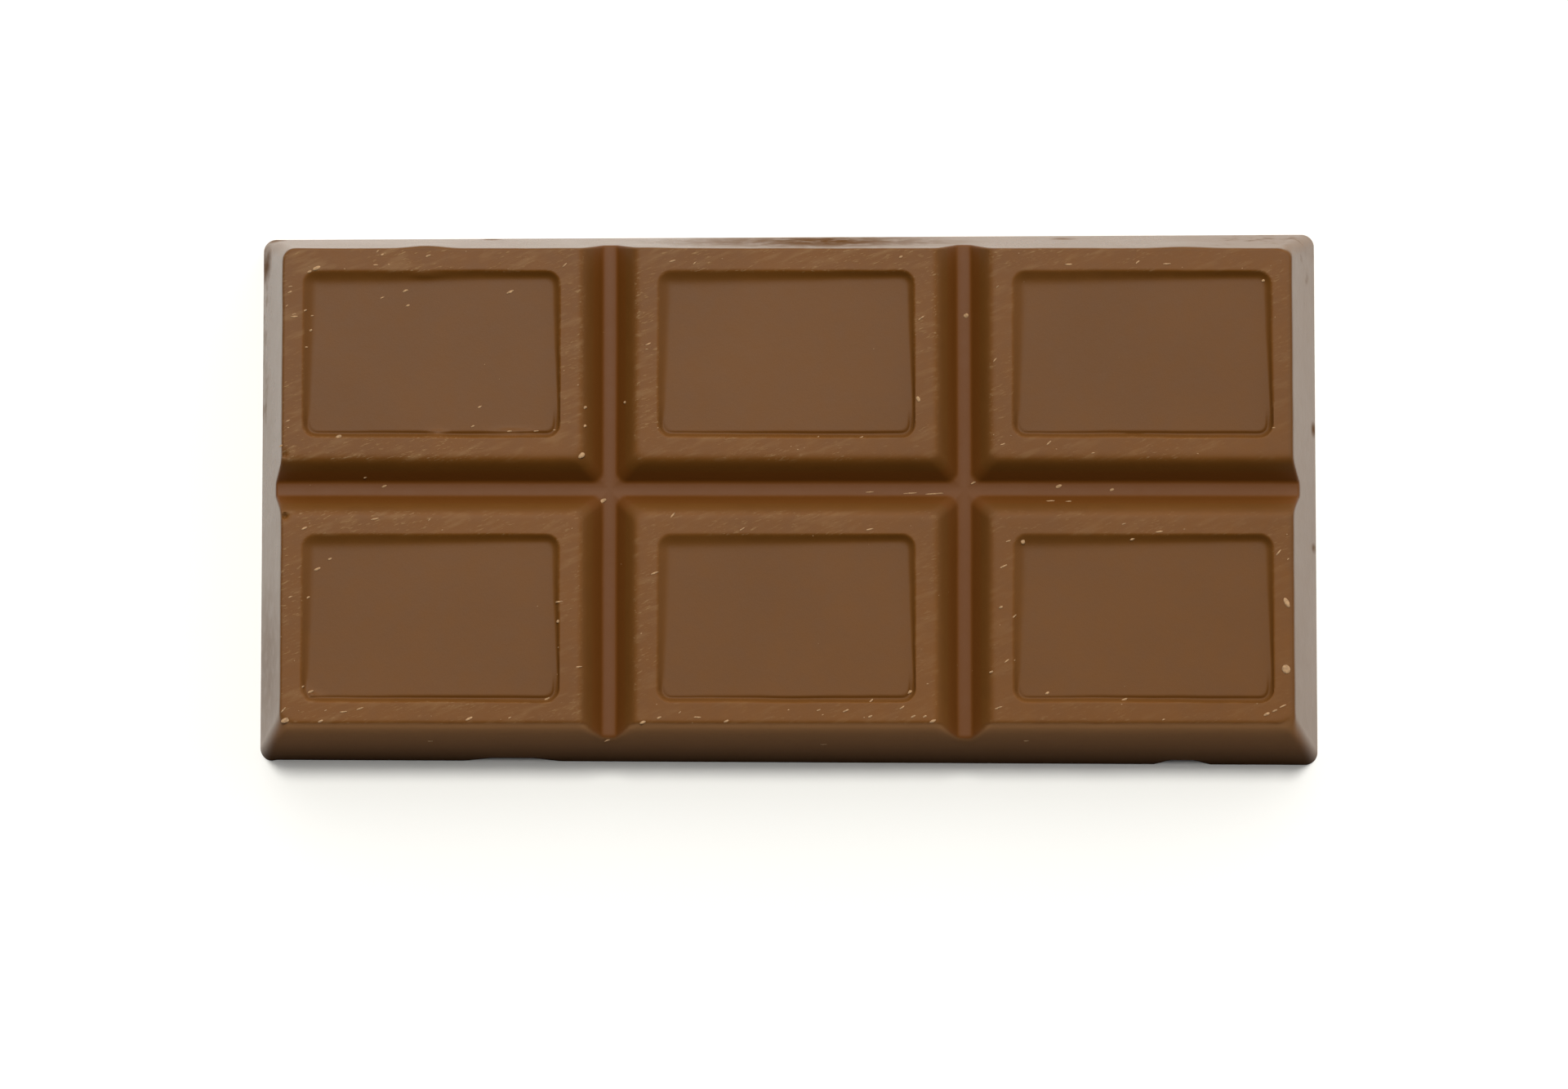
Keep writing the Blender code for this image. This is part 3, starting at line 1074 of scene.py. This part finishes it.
class CHOCOLATE_OT_set_stage(bpy.types.Operator):
    """Set the floor, the soft light and the camera"""

    bl_idname = "chocolate.set_stage"
    bl_label = "Set stage"

    def execute(self, context):
        stage = context.scene.stage_settings
        self.lay_floor(stage)
        self.light_room(context.scene, stage)
        self.hang(context.scene, "key", stage.key, stage.key_height, stage.key_breadth)
        self.hang(
            context.scene, "overhead",
            stage.overhead, stage.overhead_height, stage.overhead_breadth,
        )
        self.place_camera(context.scene, stage)
        context.scene.view_settings.view_transform = "Standard"
        return {"FINISHED"}

    @staticmethod
    def lay_floor(stage):
        reach = 3.0
        corners = [(-reach, -reach, 0), (reach, -reach, 0), (reach, reach, 0), (-reach, reach, 0)]
        floor = new_piece("studio_floor", corners, [(0, 1, 2, 3)])
        floor.data.materials.append(floor_finish(stage))

    @staticmethod
    def light_room(scene, stage):
        """Soft light from all round, stronger from low beyond the bar and from its right."""
        world = bpy.data.worlds.new("soft_room")
        world.use_nodes = True
        world.node_tree.nodes.clear()
        recipe = Recipe(world.node_tree)
        direction = recipe.add("ShaderNodeTexCoord")["Generated"]
        right, far, _ = recipe.split(direction)
        glow = recipe.ramp(far, -0.3, 0.5, stage.near_share, 1.0) * stage.sky
        glow = glow + recipe.ramp(far, 0.35, 1.0) * stage.far_glow
        glow = glow + recipe.ramp(right, 0.35, 1.0) * recipe.ramp(far, -0.3, 0.4) * stage.right_glow
        background = recipe.add(
            "ShaderNodeBackground",
            None,
            {"Color": (1.0, 1.0, 1.0, 1.0), "Strength": glow},
        )["Background"]
        recipe.add("ShaderNodeOutputWorld", None, {"Surface": background})
        scene.world = world

    @staticmethod
    def hang(scene, name, strength, height, breadth):
        """One soft light beyond the bar, which throws its shadow to the near side."""
        lamp = bpy.data.lights.new(name, "SUN")
        lamp.energy = strength
        lamp.angle = breadth
        lamp.color = (1.0, 0.985, 0.92)
        holder = bpy.data.objects.new(name, lamp)
        holder.rotation_euler = (height - math.pi / 2, 0.0, 0.0)
        scene.collection.objects.link(holder)

    @staticmethod
    def place_camera(scene, stage):
        """A long lens that looks down on the bar, leaning towards the near side."""
        lens = bpy.data.cameras.new("camera")
        lens.sensor_width = 36.0
        lens.lens = lens.sensor_width * stage.camera_distance / stage.view_length
        lens.clip_start = 0.05
        lens.clip_end = 20.0
        camera = bpy.data.objects.new("camera", lens)
        away = Vector((0.0, -math.sin(stage.camera_tilt), math.cos(stage.camera_tilt)))
        target = Vector((-0.43 * MM, -4.02 * MM, 0.0))
        camera.location = target + away * stage.camera_distance
        camera.rotation_euler = (-away).to_track_quat("-Z", "Y").to_euler()
        scene.collection.objects.link(camera)
        scene.camera = camera


class CHOCOLATE_PT_tools(bpy.types.Panel):
    """Settings and steps for the chocolate bar"""

    bl_idname = "CHOCOLATE_PT_tools"
    bl_label = "Chocolate bar"
    bl_space_type = "VIEW_3D"
    bl_region_type = "UI"
    bl_category = "Chocolate"

    def draw(self, context):
        for operator in OPERATORS:
            self.layout.operator(operator.bl_idname)
        for name, group in GROUPS.items():
            box = self.layout.box()
            box.label(text=name.replace("_", " ").capitalize())
            for setting in group.__annotations__:
                box.prop(getattr(context.scene, name), setting)


GROUPS = {
    "bar_shape": BarShape,
    "chocolate_finish": ChocolateFinish,
    "crumb_settings": CrumbSettings,
    "stage_settings": StageSettings,
}
OPERATORS = [
    CHOCOLATE_OT_mould_bar,
    CHOCOLATE_OT_lay_slivers,
    CHOCOLATE_OT_strew_crumbs,
    CHOCOLATE_OT_set_stage,
]
CLASSES = [*GROUPS.values(), *OPERATORS, CHOCOLATE_PT_tools]


def register():
    for item in CLASSES:
        bpy.utils.register_class(item)
    for name, group in GROUPS.items():
        setattr(bpy.types.Scene, name, bpy.props.PointerProperty(type=group))


def unregister():
    for name in GROUPS:
        delattr(bpy.types.Scene, name)
    for item in reversed(CLASSES):
        bpy.utils.unregister_class(item)


def main():
    register()
    bpy.ops.chocolate.mould_bar()
    bpy.ops.chocolate.lay_slivers()
    bpy.ops.chocolate.strew_crumbs()
    bpy.ops.chocolate.set_stage()


if __name__ == "__main__":
    main()
